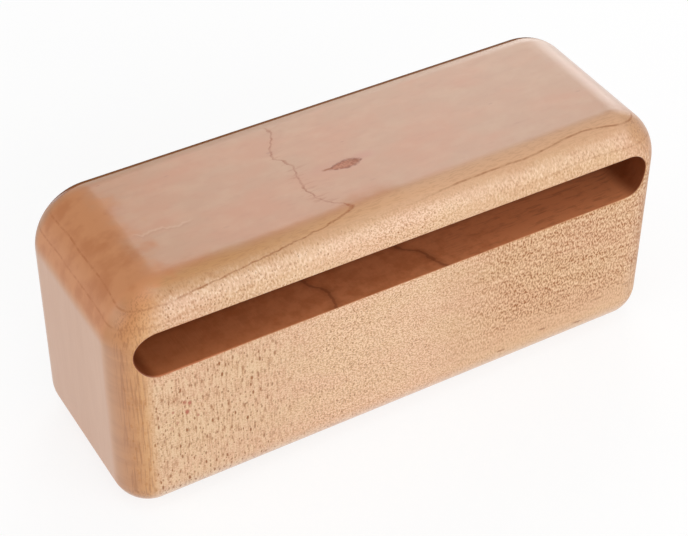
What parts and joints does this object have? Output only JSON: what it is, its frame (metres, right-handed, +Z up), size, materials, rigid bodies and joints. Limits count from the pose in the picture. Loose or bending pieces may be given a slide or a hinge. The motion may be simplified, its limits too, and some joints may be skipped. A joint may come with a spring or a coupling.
{
  "type": "wood block",
  "caption": "Solid maple wood block with rounded edges and a long sound slot milled into its front, struck on top with a mallet.",
  "frame": {"origin": "middle of the block's length and depth, on the surface that its underside stands on", "axes": "+X along the block to the right as seen from the slotted front, -Y out of the front that holds the slot, +Z up through the struck top"},
  "size_m": [0.18, 0.0626, 0.079],
  "materials": {
    "maple": "satin clear lacquer over maple"
  },
  "bodies": {
    "root": {"slotted_block": "maple"}
  },
  "joints": []
}
